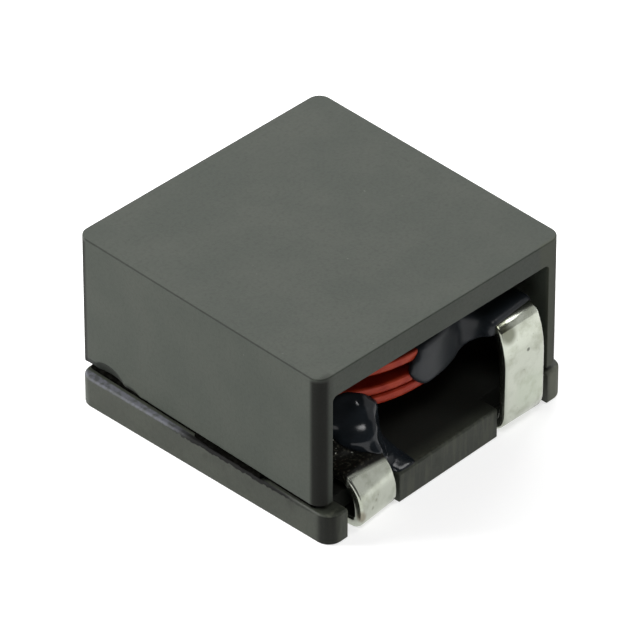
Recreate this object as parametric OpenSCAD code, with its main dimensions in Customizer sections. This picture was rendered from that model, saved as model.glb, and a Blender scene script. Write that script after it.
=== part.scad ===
// Surface-mount power inductor with a flat-wire winding in a two-piece ferrite core.
// A pressed cap is glued on a base plate. The wire's tinned ends fold under the base as terminals.
// Millimetres, +Z up, origin under the middle of the cap, terminals at the -Y end.

/* [Ferrite cap] */
// Width of the cap across its two side walls
cap_width = 18; // [17:0.1:20]
// Depth of the cap from the terminal end to the back end
cap_depth = 18.05; // [17:0.05:20]
// Height of the cap from the foot of its walls to its top face
cap_height = 8.34; // [7.5:0.02:10]
// Thickness of the top plate
plate_thickness = 1.47; // [1.2:0.01:1.8]
// Thickness of each side wall
wall_thickness = 1; // [0.8:0.05:1.3]
// Radius of the four upright corners
cap_corner_radius = 0.76; // [0.3:0.02:0.95]
// Radius where the walls meet the top plate inside
window_fillet = 0.3; // [0.1:0.05:0.6]
// Small bevel round the top face
cap_top_bevel = 0.04; // [0.02:0.01:0.2]
// Small bevel at the foot of the walls
cap_foot_bevel = 0.06; // [0.03:0.01:0.12]

/* [Base plate] */
// How far the base plate stands out past the cap on each side
base_overhang = 0.13; // [0.05:0.01:0.4]
// Thickness of the base plate
base_thickness = 1.9; // [1.5:0.05:2.5]
// Radius of the base plate's upright corners
base_corner_radius = 0.87; // [0.3:0.01:1.2]
// Bevel round the lower edge of the base plate
base_bottom_bevel = 0.06; // [0.04:0.02:0.35]
// Bevel round the upper edge of the base plate
base_top_bevel = 0.1; // [0.05:0.01:0.2]
// Turn of the base plate under the cap, as it was glued, seen from above
base_turn = 1.77; // [-2:0.01:2]
// Sideways shift of the base plate under the cap
base_shift_x = -0.09; // [-0.2:0.01:0.2]
// Shift of the base plate towards the back
base_shift_y = -0.27; // [-0.3:0.01:0.2]

/* [Glued joint] */
// Height of the adhesive between the walls and the base plate
joint_height = 0.34; // [0.1:0.02:0.6]
// Distance of the bead from the wall's outer and inner faces
bead_inset = 0.14; // [0.05:0.01:0.2]
// Length of the glue squeezed out on the left
squeeze_length = 4.9; // [3:0.1:8]
// Distance from the middle of the cap to the middle of the squeezed glue, towards the terminals
squeeze_offset = 2.3; // [0:0.1:4]

/* [Wire] */
// Width of the flat wire
wire_width = 2.9; // [2.4:0.05:3.2]
// Thickness of the flat wire
wire_thickness = 0.6; // [0.4:0.02:0.75]
// Rounding of the wire's long edges
wire_edge = 0.14; // [0.05:0.01:0.18]

/* [Winding] */
// Whole turns between the front crossings of the two leads
turns = 2; // [1:1:3]
// Gap between turns that lie on each other
turn_gap = 0.08; // [0.04:0.01:0.2]
// Extra rise of the last turn towards the high terminal
last_turn_lift = 0.62; // [0.2:0.02:0.8]
// Free height between the last turn and the top plate
winding_headroom = 1.83; // [1.4:0.01:2]
// Gap between the centre post and the winding
post_gap = 0.3; // [0.2:0.05:0.5]
// Gap between the winding and the side walls
wall_gap = 0.4; // [0.3:0.05:0.6]

/* [Terminals] */
// Distance from the middle of the base plate to the middle of each terminal
terminal_offset = 5.43; // [5:0.01:5.6]
// How far the terminals stand out in front of the base plate
terminal_proud = 0.3; // [0.1:0.02:0.6]
// Turn of the low terminal as it was bent, seen from above, in degrees
low_terminal_turn = 6; // [0:0.5:7]
// Inner radius of the tight crest where each lead turns down
crest_radius = 0.15; // [0.1:0.05:0.4]
// Part of the low lead's turn down that is made at its crest, in degrees
low_crest_bend = 38; // [20:1:60]
// Part of the high lead's turn down that is made at its crest, in degrees
high_crest_bend = 66; // [40:1:75]
// Inner radius of the low terminal's bowed face below its crest
low_bow_radius = 1.9; // [1:0.1:2]
// Inner radius of the high terminal's bowed face below its crest
high_bow_radius = 4.7; // [2:0.1:6]
// Inner radius of the fold at the low terminal's foot
low_foot_radius = 0.15; // [0.1:0.05:0.4]
// Inner radius of the fold at the high terminal's foot
high_foot_radius = 0.9; // [0.3:0.05:1.1]
// Straight run between the lead's sideways bend and its crest
lead_run = 0.4; // [0.1:0.05:0.6]
// Height of the low lead's underside above the base plate
low_lead_clearance = 0.67; // [0.4:0.01:1]
// Drop of the high lead from the last turn to its crest
high_lead_drop = 0.18; // [0:0.02:0.5]
// Length of each foot under the base plate, from the terminal's front face
foot_length = 4.6; // [3.5:0.1:5.5]

/* [Terminal slots] */
// Gap between a terminal and the tongue between the slots
slot_inner_gap = 0.2; // [0.15:0.01:0.3]
// Gap between a terminal and the outer end of its slot
slot_outer_gap = 0.85; // [0.2:0.05:1]
// Gap over the feet and behind the terminals
slot_back_gap = 0.06; // [0.03:0.01:0.2]

/* [Lead coating] */
// Thickness of the cured coating on the leads
coat_thickness = 0.22; // [0.1:0.01:0.27]
// Share of that thickness at the coating's ends
coat_end = 0.15; // [0.1:0.05:0.5]
// Gap that keeps the coating's inner face off the wire
coat_gap = 0.01; // [0.005:0.005:0.03]
// Bend of each lead that stays bare before its crest, in degrees
coat_setback = 12; // [4:1:30]
// Angle past the front that the coating runs over the turns, in degrees
curtain_angle = 52; // [30:1:70]
// Place on the low lead's bend where its coating ends, clear of the turns above, in degrees
low_coat_end = 92; // [70:1:95]
// Place on the low lead's bend where a run of coating starts, in degrees
run_start = 32; // [20:1:60]
// Radius of the run of coating that reaches the base plate
run_radius = 0.16; // [0.1:0.01:0.2]
// Reach of that run along the base plate's front edge
run_length = 1.7; // [1:0.1:2.5]

/* [Hidden] */

// Facets round an exact circle, and steps of the swept wire in degrees
$fn = 96;
ring_step = 6;
bend_step = 9;
// Overlap that makes a cut pass clean through a face
cut = 0.5;

ferrite_colour = "#5c5e5a";
base_colour = "#62645f";
wire_colour = "#9a3a26";
coat_colour = "#23272b";
glue_colour = "#1c1d1c";

// Chip at the foot of the left wall, as scoops: distance of each from the back end,
// its radius in the wall's face, its height above the wall's foot and its depth
chip_scoops = [[0.9, 1.5, 0.6, 0.33], [2.2, 1.6, 0.88, 0.4],
               [3.9, 1.2, 0.38, 0.22], [5.1, 0.9, 0.17, 0.13]];

// Levels
cap_foot = base_thickness + joint_height;
ceiling = cap_foot + cap_height - plate_thickness;
window_half = cap_width / 2 - wall_thickness;

// Base plate and what follows its turn
base_width = cap_width + 2 * base_overhang;
base_depth = cap_depth + 2 * base_overhang;
front_shift = base_shift_x + base_depth / 2 * sin(base_turn);
terminal_face = base_shift_y - base_depth / 2 - terminal_proud;

// Winding: radii, and the middle heights of its turns
ring_outer = window_half - wall_gap;
ring_mean = ring_outer - wire_width / 2;
post_radius = ring_outer - wire_width - post_gap;
pitch = wire_thickness + turn_gap;
last_turn_z = ceiling - winding_headroom - wire_thickness / 2;
first_turn_z = last_turn_z - last_turn_lift - turns * pitch;
low_lead_z = base_thickness + low_lead_clearance + wire_thickness / 2;
high_lead_z = last_turn_z - high_lead_drop;

// Small tools
function ease(u) = let(v = max(0, min(1, u))) v * v * (3 - 2 * v);
function mix(a, b, u) = a + (b - a) * u;
function unit(v) = v / norm(v);

// A lead's sideways bend touches the ring and ends square to the front, at the terminal.
// side is -1 for the low terminal on the left and 1 for the high one on the right.
// A lead is worked out square and then turned about the winding's axis by lead_turn.
shortest_leg = 0.05;
function turned(v, angle) =
    [v[0] * cos(angle) - v[1] * sin(angle), v[0] * sin(angle) + v[1] * cos(angle), v[2]];
function lead_turn(side) = side < 0 ? low_terminal_turn : 0;
function face_middle(side) =
    turned([side * terminal_offset + front_shift, terminal_face, 0], -lead_turn(side));
function terminal_x(side) = face_middle(side)[0];
function face_y(side) = face_middle(side)[1];
function leg_y(side) = face_y(side) + wire_thickness / 2;
function lead_z(side) = side < 0 ? low_lead_z : high_lead_z;

// A lead turns down in a tight crest and then in the wide bow of the terminal's face
crest_mean = crest_radius + wire_thickness / 2;
function crest_bend(side) = side < 0 ? low_crest_bend : high_crest_bend;
function foot_mean(side) = (side < 0 ? low_foot_radius : high_foot_radius) + wire_thickness / 2;
function bow_mean(side) =
    let(a = crest_bend(side),
        leg = lead_z(side) - wire_thickness / 2 - foot_mean(side) - shortest_leg)
    min((side < 0 ? low_bow_radius : high_bow_radius) + wire_thickness / 2,
        (leg - crest_mean * (1 - cos(a))) / cos(a));
function fold_reach(side) = mix(bow_mean(side), crest_mean, sin(crest_bend(side)));
function bend_end_y(side) = leg_y(side) + fold_reach(side) + lead_run;
function bend_radius(side) =
    let(x = abs(terminal_x(side)), y = bend_end_y(side))
    (y * y + x * x - ring_mean * ring_mean) / (2 * (ring_mean + x));
function leave_angle(side) =
    asin((abs(terminal_x(side)) - bend_radius(side)) / (ring_mean + bend_radius(side)));
function bend_sweep(side) = 90 + leave_angle(side);

// Angle on the ring between the front and the place where a lead leaves it
function ring_end(side) = leave_angle(side) + side * lead_turn(side);

// Height of the wire's middle on the ring, by the angle since the first front crossing
function turn_z(angle) =
    first_turn_z + pitch * angle / 360 + last_turn_lift * ease(angle / 360 - turns + 1);
function leave_z(side) =
    turn_z(side < 0 ? -ring_end(-1) : turns * 360 + ring_end(1));

// Stations along the wire: each is the middle point and the direction across the width.
// Stations round an arc of radius r, by the angle above the level through its middle
function arc_stations(x, y, z, r, from, to, across) =
    let(steps = ceil((to - from) / bend_step))
    [for (i = [0 : steps])
        let(a = mix(from, to, i / steps))
        [[x, y - r * cos(a), z + r * sin(a)], across]];

// Terminal, from the end of the foot over the bowed face and the crest to the straight run
function terminal_stations(side) =
    let(x = terminal_x(side),
        y = leg_y(side),
        across = [side, 0, 0],
        low = wire_thickness / 2,
        foot = foot_mean(side),
        bow = bow_mean(side),
        steep = 90 - crest_bend(side),
        crest_z = lead_z(side) - crest_mean)
    concat(
        [[[x, face_y(side) + foot_length, low], across]],
        arc_stations(x, y + foot, low + foot, foot, -90, 0, across),
        arc_stations(x, y + bow, crest_z + (crest_mean - bow) * sin(steep), bow, 0, steep, across),
        arc_stations(x, y + fold_reach(side), crest_z, crest_mean, steep + bend_step / 2, 90, across));

// Sideways bend from the terminal to the ring, by the bend angle b
function bend_station(side, b) =
    let(r = bend_radius(side),
        x = terminal_x(side) - side * r)
    [[x + side * r * cos(b), bend_end_y(side) + r * sin(b),
      mix(lead_z(side), leave_z(side), ease(b / bend_sweep(side)))],
     [side * cos(b), sin(b), 0]];
function bend_steps(side) = ceil(bend_sweep(side) / bend_step);
function bend_stations(side) =
    [for (i = [0 : bend_steps(side)])
        bend_station(side, bend_sweep(side) * i / bend_steps(side))];

// Ring, by the angle since the first front crossing
function ring_station(angle) =
    let(a = 270 + angle)
    [[ring_mean * cos(a), ring_mean * sin(a), turn_z(angle)], [-cos(a), -sin(a), 0]];
function ring_stations(from, to) =
    let(steps = ceil((to - from) / ring_step))
    [for (i = [0 : steps]) ring_station(mix(from, to, i / steps))];

function reversed(list) = [for (i = [len(list) - 1 : -1 : 0]) list[i]];

// One end of the wire, from its foot to the ring
function lead_stations(side) =
    [for (station = concat(terminal_stations(side), bend_stations(side)))
        [for (v = station) turned(v, lead_turn(side))]];

wire_stations = concat(
    lead_stations(-1),
    ring_stations(ring_step - ring_end(-1), turns * 360 + ring_end(1) - ring_step),
    reversed(lead_stations(1)));

// Place in that list of the station nearest to the bend angle b of one lead
function bend_index(side, b) =
    let(step = len(terminal_stations(side)) + round(bend_steps(side) * b / bend_sweep(side)))
    side < 0 ? step : len(wire_stations) - 1 - step;

// Direction of the path at station i
function along(stations, i) =
    let(last = len(stations) - 1,
        before = stations[max(0, i - 1)][0],
        here = stations[i][0],
        after = stations[min(last, i + 1)][0],
        inward = i == 0 ? after - here : here - before,
        onward = i == last ? here - before : after - here)
    unit(unit(inward) + unit(onward));

// Rounded rectangle of half sizes a and b with corner radius r, three points to a corner
function section(a, b, r) =
    [for (corner = [[1, 1, 0], [-1, 1, 90], [-1, -1, 180], [1, -1, 270]])
        for (turn = [0, 45, 90])
            [corner[0] * (a - r) + r * cos(corner[2] + turn),
             corner[1] * (b - r) + r * sin(corner[2] + turn)]];

// A section laid across the path at station i
function placed(stations, i, outline) =
    let(across = stations[i][1],
        up = unit(cross(along(stations, i), across)))
    [for (p = outline) stations[i][0] + p[0] * across + p[1] * up];

// Faces between loop i and loop i + 1 of n points, with the first loop's points at start
function skin_faces(loops, n, start, inside) =
    [for (i = [0 : loops - 2])
        for (j = [0 : n - 1])
            let(k = (j + 1) % n,
                a = start + i * n + j,
                b = start + i * n + k)
            each (inside
                ? [[a, b, b + n], [a, b + n, a + n]]
                : [[a, b + n, b], [a, a + n, b + n]])];

// Solid bar through a list of loops
module bar(loops) {
    n = len(loops[0]);
    count = len(loops);
    caps = [[for (j = [0 : n - 1]) j],
            [for (j = [n - 1 : -1 : 0]) (count - 1) * n + j]];
    polyhedron([for (loop = loops) each loop],
               concat(skin_faces(count, n, 0, false), caps), convexity = 12);
}

// Sleeve between a list of outer loops and a list of inner ones
module sleeve(outer, inner) {
    n = len(outer[0]);
    count = len(outer);
    hole = count * n;
    last = (count - 1) * n;
    rims = [for (j = [0 : n - 1])
        let(k = (j + 1) % n)
        each [[j, k, hole + k], [j, hole + k, hole + j],
              [last + j, hole + last + k, last + k], [last + j, hole + last + j, hole + last + k]]];
    polyhedron([each [for (loop = outer) each loop], each [for (loop = inner) each loop]],
               concat(skin_faces(count, n, 0, false), skin_faces(count, n, hole, true), rims),
               convexity = 12);
}

// The wire's section, grown all round
function wire_section(grow) =
    section(wire_width / 2 + grow, wire_thickness / 2 + grow, wire_edge + grow);

// Coating round the wire from one station to another, full in the middle and thin at both ends
module coating(first, last) {
    outer = [for (i = [first : last])
        let(full = sqrt(sin(180 * (i - first) / (last - first))))
        placed(wire_stations, i, wire_section(coat_gap + coat_thickness * mix(coat_end, 1, full)))];
    inner = [for (i = [first : last])
        placed(wire_stations, i, wire_section(coat_gap))];
    sleeve(outer, inner);
}

// Plate with round upright corners and a bevel at its lower and upper edges, standing on z = 0
module bevelled_plate(width, depth, height, corner, low_bevel, high_bevel) {
    function half_profile(reach) = [
        [0, 0], [reach - low_bevel, 0], [reach, low_bevel],
        [reach, height - high_bevel], [reach - high_bevel, height], [0, height]];
    function profile(reach) = concat(half_profile(reach),
        [for (p = reversed(half_profile(reach))) if (p[0] > 0) [-p[0], p[1]]]);
    rotate([90, 0, 0])
        linear_extrude(depth - 2 * corner, center = true)
            polygon(profile(width / 2));
    rotate([90, 0, 90])
        linear_extrude(width - 2 * corner, center = true)
            polygon(profile(depth / 2));
    for (sx = [-1, 1])
        for (sy = [-1, 1])
            translate([sx * (width / 2 - corner), sy * (depth / 2 - corner), 0])
                rotate_extrude()
                    polygon(half_profile(corner));
}

// Scoop broken out of the left wall's foot: a ball that cuts a circle of this radius in the face
module chip_scoop(y, radius, height, depth) {
    ball = (radius * radius + depth * depth) / (2 * depth);
    translate([-cap_width / 2 - ball + depth, y, height - radius])
        sphere(ball);
}

// The space between the walls, under the top plate, with the post left standing
module window() {
    reach = cap_depth / 2 + cut;
    head = cap_height - plate_thickness;
    difference() {
        rotate([90, 0, 0])
            linear_extrude(2 * reach, center = true)
                union() {
                    translate([-window_half, -cut])
                        square([2 * window_half, head + cut - window_fillet]);
                    translate([-window_half + window_fillet, -cut])
                        square([2 * (window_half - window_fillet), head + cut]);
                    for (side = [-1, 1])
                        translate([side * (window_half - window_fillet), head - window_fillet])
                            circle(window_fillet);
                }
        translate([0, 0, -2 * cut])
            cylinder(r = post_radius, h = cap_height + 2 * cut);
    }
}

module core_cap() {
    back = cap_depth / 2;
    color(ferrite_colour)
        translate([0, 0, cap_foot])
            difference() {
                bevelled_plate(cap_width, cap_depth, cap_height, cap_corner_radius,
                               cap_foot_bevel, cap_top_bevel);
                window();
                for (scoop = chip_scoops)
                    chip_scoop(back - scoop[0], scoop[1], scoop[2], scoop[3]);
            }
}

// Slot for one terminal in the base plate's front edge, with the pocket for its foot
module terminal_slot(side) {
    inner_end = terminal_offset - wire_width / 2 - slot_inner_gap;
    length = wire_width + slot_inner_gap + slot_outer_gap;
    front = -base_depth / 2 - cut;
    skew = wire_width / 2 * sin(abs(lead_turn(side) - base_turn));
    terminal_back = terminal_face - base_shift_y + slot_back_gap + skew;
    fold_back = terminal_back + max(foot_mean(side), fold_reach(side)) + wire_thickness / 2;
    foot_back = terminal_back + foot_length + slot_inner_gap;
    left = side < 0 ? -inner_end - length : inner_end;
    translate([left, front, -cut])
        cube([length, fold_back - front, base_thickness + 2 * cut]);
    translate([left, front, -cut])
        cube([length, foot_back - front, wire_thickness + slot_back_gap + cut]);
}

module core_base() {
    color(base_colour)
        translate([base_shift_x, base_shift_y, 0])
            rotate([0, 0, base_turn])
                difference() {
                    bevelled_plate(base_width, base_depth, base_thickness, base_corner_radius,
                                   base_bottom_bevel, base_top_bevel);
                    terminal_slot(-1);
                    terminal_slot(1);
                }
}

module winding() {
    color(wire_colour)
        bar([for (i = [0 : len(wire_stations) - 1]) placed(wire_stations, i, wire_section(0))]);
}

// Run of coating from the low lead's inner edge down to the tongue of the base plate
module coat_run() {
    inner_edge = front_shift - terminal_offset + wire_width / 2;
    rest = base_thickness + coat_gap + run_radius;
    front = base_shift_y - base_depth / 2 + 2 * run_radius;
    start = wire_stations[bend_index(-1, run_start)];
    hull()
        for (p = [start[0] - (wire_width / 2 + coat_gap + run_radius) * start[1],
                  [inner_edge + 2 * run_radius, front, rest],
                  [inner_edge + run_length, front, rest]])
            translate(p)
                sphere(run_radius, $fn = 24);
}

module lead_coat_low() {
    color(coat_colour)
        union() {
            coating(bend_index(-1, coat_setback), bend_index(-1, low_coat_end));
            coat_run();
        }
}

// Coating that ran down over the turns beside the high lead
module curtain() {
    inner = ring_outer + coat_gap;
    foot = first_turn_z - wire_thickness / 2;
    top = last_turn_z - wire_thickness / 2 - coat_thickness - 2 * coat_gap;
    rotate([0, 0, 270])
        rotate_extrude(angle = curtain_angle)
            translate([inner, foot])
                square([coat_thickness, top - foot]);
}

module lead_coat_high() {
    front_crossing = bend_index(1, bend_sweep(1)) - floor(ring_end(1) / ring_step);
    color(coat_colour)
        union() {
            coating(front_crossing, bend_index(1, coat_setback));
            curtain();
        }
}

// Bead of adhesive under one side wall, round along both long sides
module joint_bead(side) {
    radius = joint_height / 2;
    inner = window_half + bead_inset + radius;
    outer = cap_width / 2 - bead_inset - radius;
    length = cap_depth - 2 * cap_corner_radius;
    translate([0, 0, base_thickness + radius])
        rotate([90, 0, 0])
            linear_extrude(length, center = true)
                union() {
                    for (x = [inner, outer])
                        translate([side * x, 0])
                            circle(radius);
                    translate([side < 0 ? -outer : inner, -radius])
                        square([outer - inner, joint_height]);
                }
}

module joint_bead_left() {
    radius = joint_height / 2;
    reach = cap_width / 2 + base_overhang - radius;
    seam = cap_width / 2 - bead_inset - radius;
    color(glue_colour)
        union() {
            joint_bead(-1);
            translate([0, -squeeze_offset, base_thickness + radius])
                rotate([90, 0, 0])
                    linear_extrude(squeeze_length, center = true)
                        union() {
                            translate([-reach, 0])
                                circle(radius);
                            translate([-reach, -radius])
                                square([reach - seam, joint_height]);
                        }
        }
}

module joint_bead_right() {
    color(glue_colour)
        joint_bead(1);
}

core_cap();
core_base();
winding();
lead_coat_low();
lead_coat_high();
joint_bead_left();
joint_bead_right();
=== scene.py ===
"""Looks of a surface-mount power inductor: ferrite cap and base, flat-wire winding, coated leads, glue."""
import math

import bpy
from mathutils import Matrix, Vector, noise


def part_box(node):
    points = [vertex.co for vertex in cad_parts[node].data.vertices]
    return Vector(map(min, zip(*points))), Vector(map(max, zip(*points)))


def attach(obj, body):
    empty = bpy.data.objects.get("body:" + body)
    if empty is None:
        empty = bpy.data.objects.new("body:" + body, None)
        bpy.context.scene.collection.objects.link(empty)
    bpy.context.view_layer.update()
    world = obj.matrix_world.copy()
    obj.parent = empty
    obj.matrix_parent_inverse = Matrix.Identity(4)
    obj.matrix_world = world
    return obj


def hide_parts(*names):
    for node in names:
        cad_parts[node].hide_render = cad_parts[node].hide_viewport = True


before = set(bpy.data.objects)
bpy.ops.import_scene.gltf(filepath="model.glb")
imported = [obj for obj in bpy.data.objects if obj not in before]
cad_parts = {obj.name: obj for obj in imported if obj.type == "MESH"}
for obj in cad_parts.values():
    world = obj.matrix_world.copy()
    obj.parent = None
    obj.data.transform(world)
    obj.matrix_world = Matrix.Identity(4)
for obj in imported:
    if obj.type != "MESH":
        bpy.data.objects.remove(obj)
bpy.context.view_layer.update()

MM = 0.001


def mm(x, y, z):
    """A place, or three sizes, from millimetres."""
    return Vector((x, y, z)) * MM


def spread(first, last, count):
    """Evenly spaced numbers from first to last."""
    return [first + (last - first) * i / (count - 1) for i in range(count)]


def tint(red, green, blue):
    """A colour from its 0 to 255 values as they are seen."""
    def linear(value):
        share = value / 255
        return share / 12.92 if share < 0.04045 else ((share + 0.055) / 1.055) ** 2.4
    return (linear(red), linear(green), linear(blue), 1)


# Camera: the photograph's viewing angle, the point in the middle of the picture, and how near and far it sees
VIEW_AZIMUTH = math.radians(-44.91)
VIEW_ELEVATION = math.radians(36.88)
CAMERA_DISTANCE = 399.24 * MM
PICTURE_MIDDLE = mm(-1.886, -1.936, 6.978)
SENSOR = 36
LENS = 428.85
CLIP_START = 1 * MM
CLIP_END = 10

# Lights: the bearing from the camera's side and the height in degrees, the distance and the size in metres,
# and the power in watts
LIGHTS = {
    "left_softbox": (-100, 30, 0.35, 0.2, 2.2),
    "right_softbox": (100, 56, 0.35, 0.1, 0.2),
    "back_softbox": (180, 42, 0.4, 0.3, 1.2),
    "front_softbox": (6, 58, 0.35, 0.1, 0.36),
    "right_card": (95, 14, 0.4, 0.4, 0.32)}
WHITE = (1, 1, 1, 1)
WORLD_LIGHT = 0.06

# Floor: its size, the gap that keeps it off the part's underside, its grey and its glow
FLOOR_SIZE = 3
FLOOR_GAP = 0.02 * MM
FLOOR_GREY = (0.6, 0.6, 0.6, 1)
FLOOR_GLOW = 0.6

# Meshes: how near points merge, how near a plane a point counts as on it, and how flat faces become one
MERGE_DISTANCE = 0.001 * MM
CUT_THRESHOLD = 0.0001 * MM
FLAT_ANGLE = math.radians(0.5)

# Shading is smooth across edges up to these angles, in degrees
FERRITE_SMOOTH = 40
WIRE_SMOOTH = 50
CURED_SMOOTH = 60

# The cap and the base plate, as model.glb has them
CAP_LOW, CAP_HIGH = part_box("core_cap")
BASE_LOW, BASE_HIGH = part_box("core_base")

# The rounds on the ferrite's edges, and how sharp an edge has one
EDGE_ROUND = 0.04 * MM
EDGE_ANGLE = math.radians(35)

# The winding: its outer radius, the foot of its turns and how far past the front the high lead leaves it
RING_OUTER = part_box("winding")[1].x
TURNS_FOOT = 4.7 * MM
HIGH_LEAVE = math.radians(20.4)

# The low lead's sideways bend: its middle, its turn, its sweep, and its height at both ends
LOW_BEND = mm(-3.248, -7.683, 0)
LOW_TURN = math.radians(6)
LOW_SWEEP = math.radians(119)
LOW_LEAD_Z = 2.87 * MM
LOW_LEAVE_Z = 4.96 * MM

# The high lead's sideways bend: its middle and the radius of its inner edge
HIGH_BEND = mm(3.044, -8.182, 0)
HIGH_INNER = 1.129 * MM

# Coating on the leads: its voxels, its body over the wire, the radius of its fillets, the step in which it
# swells and its smoothing
COAT_VOXEL = 0.07 * MM
COAT_BODY = 0.25 * MM
COAT_FILLET = 0.75 * MM
COAT_STEP = 0.25 * MM
COAT_SMOOTHING = 30

# The coated stretch of each lead: the planes that bound it, each with a point and the way out
LOW_CUTS = (
    (mm(0, 0, 5.25), (0, 0, 1)),
    (mm(-4.9, -7.15, 0), (-0.915, -0.403, 0)),
    (mm(-4.4, -8.1, 0), (-0.786, -0.618, 0)),
    (mm(0, -8.4, 0), (0, -1, 0)),
    (mm(-3.14, -6.9, 4.9), (0.556, -0.236, 0.797)),
    (mm(-2.6, -7.5, 0), (1, -0.2, 0)),
    (mm(0, 0, 2.3), (0, 0, -1)),
    (mm(0, -4.5, 0), (0, 1, 0)))
HIGH_CUTS = (
    (mm(0, 0, 6.35), (0, 0, -1)),
    (mm(-0.1, 0, 0), (-1, 0, 0)),
    (mm(0, -3, 0), (0, 1, 0)),
    (mm(4.2, -8.65, 0), (0.1, -1, 0)))

# The low coat's cover on the turns: its angles past the front in degrees and their count, the angle of its
# crest, the height of the crest in millimetres and its fall to both sides, its inset and its thickness
COVER_ANGLES = (-48, -27, 12)
COVER_CREST = -34
COVER_TOP = 5.7
COVER_FALL = 0.0055
COVER_INSET = 0.1 * MM
COVER_THICKNESS = 0.1 * MM

# Rows of drops along the turns that fill out the low coat: the height, the reach outwards and the radii, and
# the angles past the front in degrees with their count
UPPER_DROPS = (4.75 * MM, 0, mm(0.35, 0.35, 0.35), (-50, -26, 13))
LOWER_DROPS = (4.3 * MM, 0.3 * MM, mm(0.4, 0.4, 0.4), (-50, -31, 10))

# Swellings of the low coat: the place, the radii and the way that each faces
LOW_SWELLINGS = (
    (mm(-3.95, -6.76, 5.09), mm(0.4, 0.4, 0.16), Vector((-0.457, -0.498, 0.737))),
    (mm(-4.44, -7.02, 3.97), mm(1.05, 0.9, 0.31), Vector((-0.557, -0.397, 0.729))),
    (mm(-4.19, -7.29, 3.3), mm(0.55, 0.8, 0.45), Vector((-0.457, -0.498, 0.737))))

# The web under the low lead: its foot on the base plate's tongue, the angles in degrees and the radius of its
# rim along the bend, its sag between the two, and its thickness
WEB_FOOT = [mm(x, -9.3, 1.66) for x in spread(-3.4, -2.3, 5)]
WEB_FOOT += [mm(-2.3, y, 1.66) for y in spread(-9.1, -6.9, 9)]
WEB_RIM_ANGLES = (-10, 105)
WEB_RIM_RADIUS = 0.62 * MM
WEB_SAG = mm(-0.2, 0.1, -0.3)
WEB_THICKNESS = 0.15 * MM

# The high coat's run over the turns: the height in millimetres of each of its rows with the angle past the
# front in degrees where it starts, its columns and its thickness
RUN_ROWS = ((5.0, 1), (5.35, -2.3), (5.9, -5.6), (6.3, -4.8), (6.7, -3.4))
RUN_COLUMNS = 14
RUN_THICKNESS = 0.1 * MM

# The run's part in the corner between the turns and the high lead: the angles round the lead's bend where it
# starts and ends, and the height of its foot there
CORNER_ANGLES = (math.radians(90) + HIGH_LEAVE, math.radians(-22))
CORNER_FEET = (5.15 * MM, 6.5 * MM)

# Adhesive: its voxels, where its open side starts, the size and depth of its lumps, and the crumbs on them
GLUE_VOXEL = 0.05 * MM
GLUE_OPEN = 8.8 * MM
GLUE_BLEND = 0.15 * MM
GLUE_LUMP = 0.8 * MM
GLUE_RELIEF = 0.07 * MM
GLUE_CRUMB = 0.25 * MM
GLUE_CRUMB_SHARE = 0.6

# Ferrite: the plain and worn colours of the cap and the base plate, those of its mottling and its specks, and
# the depth of its grain
CAP_PLAIN = tint(50, 55, 48)
CAP_WORN = tint(55, 59, 52)
BASE_PLAIN = tint(49, 52, 45)
BASE_WORN = tint(55, 58, 50)
FERRITE_MOTTLE = tint(36, 39, 34)
FERRITE_SPECK = tint(84, 87, 79)
FERRITE_RELIEF = 0.006 * MM

# Marks on the ferrite, several of them painted shade or painted light
# Painted shade on the cap's upright corners
CAP_PAINTED_CORNER_SHADE = tint(10, 11, 6)
# Painted shade along the cap's top edges
CAP_PAINTED_EDGE_SHADE = tint(22, 24, 20)
# Painted light on the cap's right end
CAP_PAINTED_END_LIGHT = tint(72, 74, 63)
# The chipped foot: darker broken ferrite, deepened by painted shade where it faces down
CAP_BROKEN_AND_SHADE = tint(22, 23, 22)
BASE_BLOTCH = tint(24, 26, 21)
# Painted light on the base plate's right front end
BASE_PAINTED_LUG_LIGHT = tint(98, 100, 90)
# Painted shade on the base plate's top under the cap and in the slot floors
BASE_PAINTED_INSIDE_SHADE = tint(14, 15, 12)
BASE_STREAK = tint(86, 88, 76)
# Painted shade on the base plate's front left corner
BASE_PAINTED_CORNER_SHADE = tint(14, 15, 11)
# Painted sheen on the top of the base plate's left side
BASE_PAINTED_LEDGE_SHEEN = tint(94, 95, 103)
BASE_SMEAR = tint(3, 3, 2)

# Wire: its enamel and its tin with their worn colours, the specks in the tin and the depth of its dents, and
# on the low lead's tin a painted dark reflection with its mottling and its painted glints
ENAMEL = tint(134, 36, 20)
ENAMEL_WORN = tint(152, 53, 31)
TIN = tint(184, 188, 176)
TIN_WORN = tint(162, 166, 152)
TIN_SPECK = tint(92, 92, 82)
TIN_RELIEF = 0.012 * MM
PAINTED_DARK_REFLECTION = tint(14, 14, 11)
PAINTED_REFLECTION_MOTTLE = tint(66, 65, 56)
PAINTED_GLINT = tint(215, 218, 208)

# Stains on the tin: the place, the reach, the strength and the colour of each, and the share of the reach
# that has the full strength
TIN_STAINS = (
    (mm(4.68, -9.45, 6.5), 0.75 * MM, 0.85, tint(98, 101, 86)),
    (mm(4.4, -9.0, 7.0), 0.6 * MM, 0.6, tint(96, 98, 70)),
    (mm(5.85, -9.65, 5.06), 0.16 * MM, 0.8, tint(82, 84, 76)),
    (mm(5.99, -9.72, 2.4), 1.5 * MM, 0.25, tint(160, 172, 150)),
    (mm(-6.75, -9.8, 0.9), 0.5 * MM, 0.55, tint(104, 88, 62)),
    (mm(-5.82, -9.79, 1.06), 0.15 * MM, 0.4, tint(112, 112, 96)),
    (mm(-5.5, -9.75, 1.4), 0.12 * MM, 0.4, tint(112, 112, 96)))
STAIN_CORE = 0.4

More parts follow.
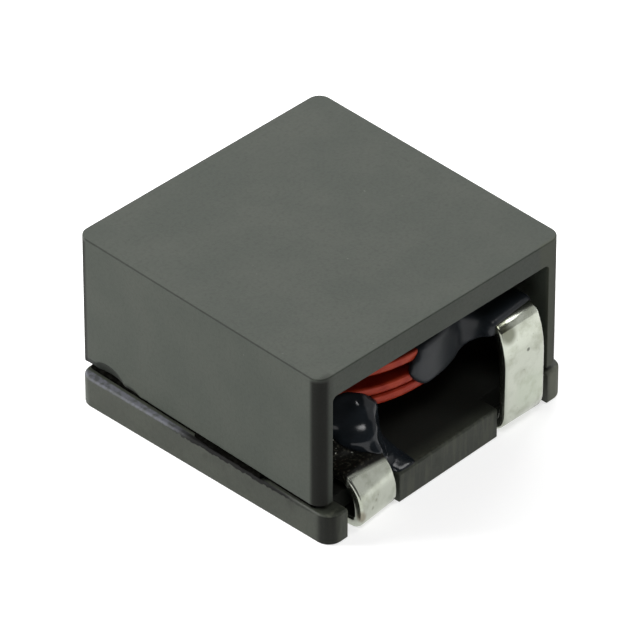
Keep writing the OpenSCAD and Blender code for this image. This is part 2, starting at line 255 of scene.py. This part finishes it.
# Cured epoxy on the leads, and the adhesive with its lumps, its dust and the depth of its grain
EPOXY = tint(20, 23, 26)
EPOXY_SWIRL = tint(30, 35, 40)
ADHESIVE = tint(3, 3, 2)
ADHESIVE_LUMP = tint(11, 11, 9)
ADHESIVE_DUST = tint(36, 38, 34)
ADHESIVE_RELIEF = 0.03 * MM


# Modelling

def activate(piece):
    """Makes a piece the only one selected."""
    bpy.ops.object.select_all(action="DESELECT")
    piece.select_set(True)
    bpy.context.view_layer.objects.active = piece


def edit(piece):
    """Goes into edit mode with the whole piece selected."""
    activate(piece)
    bpy.ops.object.mode_set(mode="EDIT")
    bpy.ops.mesh.select_mode(type="FACE")
    bpy.ops.mesh.select_all(action="SELECT")


def done():
    """Leaves edit mode."""
    bpy.ops.object.mode_set(mode="OBJECT")


def copy_of(node, name):
    """A merged copy of a CAD node's mesh, as a new piece."""
    piece = bpy.data.objects.new(name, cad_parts[node].data.copy())
    bpy.context.scene.collection.objects.link(piece)
    piece.data.materials.clear()
    edit(piece)
    bpy.ops.mesh.remove_doubles(threshold=MERGE_DISTANCE)
    done()
    return piece


def apply(piece, kind, **settings):
    """Adds a modifier with these settings and applies it."""
    activate(piece)
    modifier = piece.modifiers.new(kind, kind)
    for name, value in settings.items():
        setattr(modifier, name, value)
    bpy.ops.object.modifier_apply(modifier=modifier.name)


def cut_away(piece, point, normal):
    """Cuts off what lies on the normal's side of a plane, and closes the cut."""
    edit(piece)
    bpy.ops.mesh.bisect(
        plane_co=point, plane_no=normal, use_fill=True, clear_outer=True, threshold=CUT_THRESHOLD)
    done()


def join(piece, *others):
    """Joins other pieces into this one."""
    bpy.ops.object.select_all(action="DESELECT")
    for other in others:
        other.select_set(True)
    piece.select_set(True)
    bpy.context.view_layer.objects.active = piece
    bpy.ops.object.join()


def settle(piece):
    """Puts a piece's place, turn and scale into its mesh."""
    activate(piece)
    bpy.ops.object.transform_apply(location=True, rotation=True, scale=True)


def smooth(piece, degrees):
    """Smooth shading across edges up to this angle."""
    activate(piece)
    bpy.ops.object.shade_smooth_by_angle(angle=math.radians(degrees))


def ball(place, radii, facing=Vector((0, 0, 1))):
    """A ball of three radii at a place, with its third radius along the way that it faces."""
    bpy.ops.mesh.primitive_uv_sphere_add(segments=32, ring_count=16, radius=1, location=place)
    piece = bpy.context.object
    piece.scale = radii
    piece.rotation_euler = facing.to_track_quat("Z", "Y").to_euler()
    settle(piece)
    return piece


def sheet(rows, thickness):
    """A thin wall through rows of points."""
    across, along = len(rows[0]) - 1, len(rows) - 1
    bpy.ops.mesh.primitive_grid_add(x_subdivisions=across, y_subdivisions=along, size=2)
    piece = bpy.context.object
    for vertex in piece.data.vertices:
        column, row = round((vertex.co.x + 1) / 2 * across), round((vertex.co.y + 1) / 2 * along)
        vertex.co = rows[row][column]
    apply(piece, "SOLIDIFY", thickness=thickness, offset=0)
    return piece


def finished(piece, material, slot, *nodes):
    """Gives a piece its finish and its body, and hides the CAD nodes that it stands for."""
    piece.data.materials.clear()
    piece.data.materials.append(material)
    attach(piece, "root")
    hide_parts(*nodes)


# Materials

class Value:
    """One socket in a material. Python's operators on it add Math nodes."""

    def __init__(self, finish, socket):
        self.finish = finish
        self.socket = socket

    def math(self, operation, *others):
        values = dict(enumerate((self, *others)))
        return self.finish.add("ShaderNodeMath", {"operation": operation}, values)

    def __add__(self, other):
        return self.math("ADD", other)

    __radd__ = __add__

    def __mul__(self, other):
        return self.math("MULTIPLY", other)

    __rmul__ = __mul__

    def __sub__(self, other):
        return self.math("SUBTRACT", other)

    def __rsub__(self, other):
        return self * -1 + other

    def __abs__(self):
        return self.math("ABSOLUTE")

    def most(self, other):
        return self.math("MAXIMUM", other)

    def step(self, low, high):
        """0 up to low, 1 from high, and smooth between. With low above high it falls instead."""
        settings = {"interpolation_type": "SMOOTHSTEP"}
        return self.finish.add("ShaderNodeMapRange", settings, {0: self, 1: low, 2: high})


class Finish:
    """A material on Object coordinates, with one Principled shader."""

    def __init__(self, name, **constants):
        self.material = bpy.data.materials.new(name)
        self.material.use_nodes = True
        self.nodes = self.material.node_tree.nodes
        self.links = self.material.node_tree.links
        self.shader = self.nodes["Principled BSDF"]
        for socket, value in constants.items():
            self.shader.inputs[socket.replace("_", " ")].default_value = value
        self.place = self.add("ShaderNodeTexCoord", output="Object")
        self.x, self.y, self.z = (self.axis(i) for i in range(3))

    def add(self, kind, settings=None, inputs=None, output=0):
        """Adds a node, sets it, fills or links its sockets and gives one of its outputs."""
        node = self.nodes.new(kind)
        for name, value in (settings or {}).items():
            setattr(node, name, value)
        for key, value in (inputs or {}).items():
            self.put(node.inputs[key], value)
        return Value(self, node.outputs[output])

    def put(self, socket, value):
        """Links a value to a socket, or sets the socket to a number or colour."""
        if isinstance(value, Value):
            self.links.new(value.socket, socket)
        else:
            socket.default_value = value

    def axis(self, index):
        """One coordinate of the place, in millimetres."""
        return self.add("ShaderNodeSeparateXYZ", inputs={0: self.place}, output=index) * (1 / MM)

    def grain(self, size, detail=2, stretch=(1, 1, 1), offset=0):
        """Noise whose grains are about this size in metres, stretched along the axes."""
        scale = [1 / (size * s) for s in stretch]
        shift = (offset, 2 * offset, 3 * offset)
        spot = self.add("ShaderNodeMapping", inputs={"Vector": self.place, "Scale": scale, "Location": shift})
        return self.add("ShaderNodeTexNoise", inputs={"Vector": spot, "Scale": 1, "Detail": detail})

    def near(self, place, reach):
        """1 round a place in metres, falling to 0 at this reach."""
        ends = {0: self.place, 1: place}
        gap = self.add("ShaderNodeVectorMath", {"operation": "DISTANCE"}, ends, "Value")
        return (gap * (1 / MM)).step(reach / MM, STAIN_CORE * reach / MM)

    def mix(self, factor, first, second):
        """A colour between two."""
        return self.add("ShaderNodeMix", {"data_type": "RGBA"}, {0: factor, 6: first, 7: second}, 2)

    def feed(self, **values):
        """Links values to the shader's sockets."""
        for name, value in values.items():
            self.put(self.shader.inputs[name.replace("_", " ")], value)

    def bump(self, height, depth):
        """Gives the surface a relief of this depth in metres."""
        inputs = {"Height": height, "Distance": depth, "Strength": 1}
        self.feed(Normal=self.add("ShaderNodeBump", inputs=inputs))


# The masks below are steps along the part's own axes in millimetres, or steps in a noise

def ferrite(name, plain, worn, marks):
    """Pressed and fired ferrite: dark olive grey and satin. Marks are masks with their colours."""
    finish = Finish(name, IOR=1.3)
    clouds = finish.grain(3 * MM, 3)
    grain = finish.grain(0.09 * MM, 2)
    mottle = finish.grain(0.2 * MM, 3, offset=17).step(0.4, 0.75)
    specks = finish.grain(0.3 * MM, 1, offset=11).step(0.79, 0.84)
    colour = finish.mix(clouds.step(0.35, 0.7), plain, worn)
    colour = finish.mix(mottle * 0.3, colour, FERRITE_MOTTLE)
    colour = finish.mix(specks * 0.5, colour, FERRITE_SPECK)
    dull = 0
    for mask, shade in marks(finish):
        colour = finish.mix(mask, colour, shade)
        dull = mask.most(dull)
    finish.feed(Base_Color=colour, Roughness=0.45 + 0.16 * grain + 0.25 * dull)
    finish.bump(grain + 2 * clouds, FERRITE_RELIEF)
    return finish.material


def cap_ferrite():
    """The cap's ferrite: painted shade on its upright corners and top edges, a chipped foot that is darker of
    itself and darkened further by painted shade, and painted light on its right end.
    """
    def marks(finish):
        across = abs(finish.x) - CAP_HIGH.x / MM
        along = abs(finish.y) - CAP_HIGH.y / MM
        below_top = finish.z - CAP_HIGH.z / MM
        # Painted shade darkening the upright corners
        corner = across.step(-0.8, -0.5) * along.step(-0.8, -0.5) * below_top.step(-0.03, -0.3)
        # Painted shade: a dark line along the top edges
        painted_top_edge_shade = below_top.step(-0.09, -0.04) * across.step(-0.08, -0.03)
        # Painted light brightening the right wall's end face
        painted_right_end_light = finish.x.step(7.1, 7.5) * finish.y.step(-8.7, -9)
        # The chipped foot at the back left: darker broken ferrite, deepened by painted shade under the
        # overhang
        broken_and_shaded = (finish.x - CAP_LOW.x / MM).step(0.03, 0.08) * finish.x.step(-8.2, -8.4)
        broken_and_shaded *= finish.y.step(2.5, 3) * finish.z.step(4.5, 4.2)
        # Painted shade darkening the front left upright corner further
        painted_front_left_shade = finish.x.step(-7.8, -8.4) * finish.y.step(-8.5, -8.9)
        yield painted_front_left_shade * 0.4, CAP_PAINTED_CORNER_SHADE
        yield corner * 0.95, CAP_PAINTED_CORNER_SHADE
        yield painted_top_edge_shade * 0.6, CAP_PAINTED_EDGE_SHADE
        yield painted_right_end_light * 0.5, CAP_PAINTED_END_LIGHT
        yield broken_and_shaded * 0.6, CAP_BROKEN_AND_SHADE
    return ferrite("cap_ferrite", CAP_PLAIN, CAP_WORN, marks)


def base_ferrite():
    """The base plate's ferrite: blotched and streaked at the front, with painted shade on its top under the
    cap, in the slot floors and at its front left corner, painted light on its right front end, a painted
    sheen broken by chips along the top of its left side, and smeared glue on its left."""
    def marks(finish):
        blotches = finish.grain(1.2 * MM, 3, offset=5)
        pits = finish.grain(0.3 * MM, 3, offset=9)
        left = finish.x.step(-8.9, -9.0)
        # Painted sheen along the top of the left side, broken by chips
        painted_ledge_sheen = left * finish.z.step(1.74, 1.86) * (finish.y + blotches * 3).step(1.2, 2.4)
        painted_ledge_sheen *= 0.4 + 0.6 * pits.step(0.35, 0.6)
        smear = left * (finish.z + 0.4 * pits).step(1.9, 1.96) * finish.y.step(2.6, 0)
        smear *= finish.y.step(-8.7, -8.2) * (0.45 + 0.55 * finish.y.step(-7.2, -6.4))
        # Painted light brightening the right front end
        painted_lug_light = finish.x.step(7.8, 8.2) * finish.y.step(-8.8, -9)
        # Painted shade darkening the front left corner
        corner = finish.x.step(-7.8, -8.6) * finish.y.step(-8.6, -9.1) * finish.z.step(1.86, 1.8)
        # Painted shade in the slot floors and on the top under the cap, darker towards the back
        painted_slot_shade = finish.z.step(0.1, 0.3) * finish.y.step(-5, -6)
        painted_inside_shade = finish.z.step(1.86, 1.89).most(painted_slot_shade) * finish.y.step(-9.5, -8.2)
        painted_inside_shade *= abs(finish.x).step(7.9, 7.5)
        streaks = finish.grain(0.3 * MM, 2, stretch=(1, 1, 8), offset=3).step(0.42, 0.66)
        streaks *= finish.y.step(-9.1, -9.3)
        yield blotches.step(0.55, 0.8) * 0.3, BASE_BLOTCH
        yield painted_lug_light * 0.8, BASE_PAINTED_LUG_LIGHT
        yield painted_inside_shade * 0.9, BASE_PAINTED_INSIDE_SHADE
        yield streaks * 0.35, BASE_STREAK
        yield corner * 0.85, BASE_PAINTED_CORNER_SHADE
        yield painted_ledge_sheen * 0.75, BASE_PAINTED_LEDGE_SHEEN
        yield smear, BASE_SMEAR
    return ferrite("base_ferrite", BASE_PLAIN, BASE_WORN, marks)


def flat_wire():
    """One wire: red enamel over copper on the turns, satin tin with its stains on both ends, and a painted
    dark reflection with painted glints on the low lead's tin."""
    finish = Finish("flat_wire", Coat_Roughness=0.1, IOR=1.2)
    on_high_lead = finish.x.step(3.6, 3.7) * finish.y.step(-6.9, -7.0)
    tinned = on_high_lead.most(finish.z.step(4.35, 4.25))
    smudges = finish.grain(0.9 * MM, 4)
    specks = finish.grain(0.16 * MM, 2, offset=7)
    tin = finish.mix(smudges.step(0.42, 0.72), TIN, TIN_WORN)
    tin = finish.mix(specks.step(0.7, 0.78) * 0.7, tin, TIN_SPECK)
    for place, reach, share, shade in TIN_STAINS:
        tin = finish.mix(finish.near(place, reach) * share, tin, shade)
    # Painted glints: bright spots on the low lead's tin top
    painted_glints = finish.grain(0.18 * MM, 1, offset=13).step(0.66, 0.74) * finish.y.step(-7.9, -7.2)
    # Painted dark reflection: the low lead's tin top made dark and less metallic, in place of the dark cap
    # that it mirrors
    painted_reflection = finish.y.step(-9, -8.75) * finish.x.step(-3.6, -3.9) * finish.z.step(2.3, 2.6) * tinned
    painted_reflection_colour = finish.mix(specks.step(0.5, 0.8), PAINTED_DARK_REFLECTION, PAINTED_REFLECTION_MOTTLE)
    painted_reflection_colour = finish.mix(painted_glints, painted_reflection_colour, PAINTED_GLINT)
    enamel = finish.mix(smudges.step(0.3, 0.7), ENAMEL, ENAMEL_WORN)
    finish.feed(
        Base_Color=finish.mix(painted_reflection, finish.mix(tinned, enamel, tin), painted_reflection_colour),
        Metallic=0.2 + 0.8 * tinned - 0.8 * painted_reflection,
        Roughness=0.26 - 0.08 * tinned + 0.1 * smudges + 0.15 * painted_reflection,
        Coat_Weight=(1 - tinned) * 0.15)
    finish.bump(smudges * tinned, TIN_RELIEF)
    return finish.material


def lead_coating():
    """Cured epoxy: very dark blue grey, glossy on the low lead and duller on the high one."""
    finish = Finish("lead_coating", IOR=1.36)
    swirls = finish.grain(0.8 * MM, 2)
    on_high_lead = finish.x.step(-1.6, -0.6)
    finish.feed(
        Base_Color=finish.mix(swirls, EPOXY, EPOXY_SWIRL),
        Roughness=0.12 + 0.05 * swirls + 0.22 * on_high_lead)
    return finish.material


def joint_adhesive():
    """Cured adhesive between cap and base: black and dull, dusty at the back left."""
    finish = Finish("joint_adhesive", IOR=1.06)
    lumps = finish.grain(0.25 * MM, 3)
    dusty = finish.x.step(-8.9, -9.0) * finish.y.step(1.6, 2.6)
    black = finish.mix(lumps.step(0.45, 0.7), ADHESIVE, ADHESIVE_LUMP)
    finish.feed(Base_Color=finish.mix(dusty * 0.9, black, ADHESIVE_DUST), Roughness=0.7 + 0.2 * lumps)
    finish.bump(lumps, ADHESIVE_RELIEF)
    return finish.material


# Pieces

def ferrite_piece(node, name):
    """A core piece with its sharp edges slightly rounded."""
    piece = copy_of(node, name)
    edit(piece)
    bpy.ops.mesh.dissolve_limited(angle_limit=FLAT_ANGLE)
    done()
    apply(piece, "BEVEL", width=EDGE_ROUND, segments=2, limit_method="ANGLE",
          angle_limit=EDGE_ANGLE, use_clamp_overlap=False)
    smooth(piece, FERRITE_SMOOTH)
    apply(piece, "WEIGHTED_NORMAL", keep_sharp=True)
    return piece


def winding():
    """The wire, smooth along its length."""
    piece = copy_of("winding", "flat_wire_winding")
    smooth(piece, WIRE_SMOOTH)
    apply(piece, "WEIGHTED_NORMAL", keep_sharp=True)
    return piece


def coated_stretch(name, cuts):
    """The stretch of the wire between these cuts, as a new piece."""
    piece = copy_of("winding", name)
    for point, normal in cuts:
        cut_away(piece, point, normal)
    return piece


def on_ring(angle, height, reach=0):
    """A point on the winding's outside, by the angle past the front."""
    radius = RING_OUTER + reach
    return Vector((radius * math.sin(angle), -radius * math.cos(angle), height))


def on_low_bend(angle, radius):
    """A point on the low lead, by the angle round its sideways bend."""
    turn = LOW_TURN - angle
    share = angle / LOW_SWEEP
    height = LOW_LEAD_Z + (LOW_LEAVE_Z - LOW_LEAD_Z) * share * share * (3 - 2 * share)
    return LOW_BEND + Vector((-radius * math.cos(turn), -radius * math.sin(turn), height))


def on_high_bend(angle, height):
    """A point on the inner edge of the high lead's sideways bend."""
    return HIGH_BEND + Vector((HIGH_INNER * math.cos(angle), HIGH_INNER * math.sin(angle), height))


def drops(height, reach, radii, angles):
    """A row of balls along the winding's outside."""
    return [ball(on_ring(math.radians(angle), height, reach), radii) for angle in spread(*angles)]


def swell(piece, distance):
    """Moves a piece's whole surface outwards, or inwards with a negative distance."""
    apply(piece, "DISPLACE", strength=distance, mid_level=0)
    apply(piece, "REMESH", mode="VOXEL", voxel_size=COAT_VOXEL)


def cured(piece, wire, *masses):
    """Turns rough forms into one flowing body of coating that leaves the wire's place free."""
    join(piece, *masses)
    apply(piece, "REMESH", mode="VOXEL", voxel_size=COAT_VOXEL)
    for _ in range(round((COAT_BODY + COAT_FILLET) / COAT_STEP)):
        swell(piece, COAT_STEP)
    for _ in range(round(COAT_FILLET / COAT_STEP)):
        swell(piece, -COAT_STEP)
    apply(piece, "SMOOTH", factor=0.5, iterations=COAT_SMOOTHING)
    cut_away(piece, Vector((0, 0, BASE_HIGH.z)), (0, 0, -1))
    apply(piece, "BOOLEAN", operation="DIFFERENCE", object=wire, solver="EXACT")
    smooth(piece, CURED_SMOOTH)
    return piece


def low_coat(wire):
    """Coating on the low lead, up over the turns, with the web that ran down to the base plate's tongue."""
    piece = coated_stretch("low_lead_coating", LOW_CUTS)
    angles = [math.radians(angle) for angle in spread(*COVER_ANGLES)]
    tops = [(COVER_TOP - COVER_FALL * (math.degrees(angle) - COVER_CREST) ** 2) * MM for angle in angles]
    lower = [on_ring(angle, TURNS_FOOT + COVER_INSET) for angle in angles]
    upper = [on_ring(angle, top, -COVER_INSET) for angle, top in zip(angles, tops)]
    cover = sheet((lower, upper), COVER_THICKNESS)
    dome = drops(*UPPER_DROPS)
    dome += [ball(*swelling) for swelling in LOW_SWELLINGS]
    dome += drops(*LOWER_DROPS)
    along_bend = [math.radians(angle) for angle in spread(*WEB_RIM_ANGLES, len(WEB_FOOT))]
    rim = [on_low_bend(angle, WEB_RIM_RADIUS) for angle in along_bend]
    sag = [(low + high) / 2 + WEB_SAG for low, high in zip(WEB_FOOT, rim)]
    web = sheet((WEB_FOOT, sag, rim), WEB_THICKNESS)
    return cured(piece, wire, web, cover, *dome)


def high_coat(wire):
    """Coating on the high lead, with the part that ran down over the turns and into the corner between."""
    piece = coated_stretch("high_lead_coating", HIGH_CUTS)
    in_corner = spread(*CORNER_ANGLES, RUN_COLUMNS)[1:]
    feet = spread(*CORNER_FEET, len(in_corner))
    bottom, top = RUN_ROWS[0][0], RUN_ROWS[-1][0]
    rows = []
    for height, first in RUN_ROWS:
        share = (height - bottom) / (top - bottom)
        on_turns = spread(math.radians(first), HIGH_LEAVE, RUN_COLUMNS)
        row = [on_ring(angle, height * MM) for angle in on_turns]
        row += [on_high_bend(angle, foot + (top * MM - foot) * share) for angle, foot in zip(in_corner, feet)]
        rows.append(row)
    return cured(piece, wire, sheet(rows, RUN_THICKNESS))


def glue_bead(side):
    """Bead of adhesive under a side wall, uneven along its open side."""
    piece = copy_of(f"joint_bead_{side}", f"glue_{side}")
    apply(piece, "REMESH", mode="VOXEL", voxel_size=GLUE_VOXEL)
    for vertex in piece.data.vertices:
        outside = min(1, max(0, abs(vertex.co.x) - GLUE_OPEN) / GLUE_BLEND)
        lump = noise.noise(vertex.co / GLUE_LUMP) + GLUE_CRUMB_SHARE * noise.noise(vertex.co / GLUE_CRUMB)
        vertex.co += vertex.normal * outside * lump * GLUE_RELIEF
    smooth(piece, CURED_SMOOTH)
    return piece


# Floor, light and camera

def floor():
    """A plain pale floor that the part stands on."""
    bpy.ops.mesh.primitive_plane_add(size=FLOOR_SIZE, location=(0, 0, BASE_LOW.z - FLOOR_GAP))
    piece = bpy.context.object
    piece.name = "floor"
    finish = Finish("floor", Base_Color=FLOOR_GREY, Roughness=0.9, Emission_Strength=FLOOR_GLOW)
    finish.feed(Emission_Color=WHITE)
    piece.data.materials.append(finish.material)


def way_out(azimuth, elevation):
    """The direction at this angle past the front, seen from above, and this height over the floor."""
    level = math.cos(elevation)
    return Vector((math.sin(azimuth) * level, -math.cos(azimuth) * level, math.sin(elevation)))


def softbox(name, bearing, height, distance, size, power):
    """A square soft light that faces the part. The bearing is seen from above, from the camera's side."""
    light = bpy.data.lights.new(name, "AREA")
    light.size = size
    light.energy = power
    lamp = bpy.data.objects.new(name, light)
    way = way_out(VIEW_AZIMUTH + math.radians(bearing), math.radians(height))
    middle = (CAP_LOW + CAP_HIGH) / 2
    lamp.location = middle + way * distance
    lamp.rotation_euler = way.to_track_quat("Z", "Y").to_euler()
    lamp.visible_camera = False
    bpy.context.scene.collection.objects.link(lamp)


def studio():
    """Soft light from all round in a dim room."""
    for name, settings in LIGHTS.items():
        softbox(name, *settings)
    world = bpy.data.worlds.new("studio")
    world.use_nodes = True
    background = world.node_tree.nodes["Background"]
    background.inputs["Color"].default_value = WHITE
    background.inputs["Strength"].default_value = WORLD_LIGHT
    bpy.context.scene.world = world
    bpy.context.scene.view_settings.view_transform = "Standard"


def camera():
    """The photograph's camera."""
    lens = bpy.data.cameras.new("camera")
    lens.sensor_width = SENSOR
    lens.lens = LENS
    lens.clip_start = CLIP_START
    lens.clip_end = CLIP_END
    eye = bpy.data.objects.new("camera", lens)
    eye.location = Vector((0, 0, CAP_HIGH.z)) + way_out(VIEW_AZIMUTH, VIEW_ELEVATION) * CAMERA_DISTANCE
    eye.rotation_euler = (PICTURE_MIDDLE - eye.location).to_track_quat("-Z", "Y").to_euler()
    bpy.context.scene.collection.objects.link(eye)
    bpy.context.scene.camera = eye


wire = winding()
coat = lead_coating()
glue = joint_adhesive()
finished(ferrite_piece("core_cap", "ferrite_cap"), cap_ferrite(), "cap_ferrite", "core_cap")
finished(ferrite_piece("core_base", "ferrite_base"), base_ferrite(), "base_ferrite", "core_base")
finished(low_coat(wire), coat, "lead_coating", "lead_coat_low")
finished(high_coat(wire), coat, "lead_coating", "lead_coat_high")
finished(wire, flat_wire(), "flat_wire", "winding")
for side in ("left", "right"):
    finished(glue_bead(side), glue, "joint_adhesive", f"joint_bead_{side}")

floor()
studio()
camera()
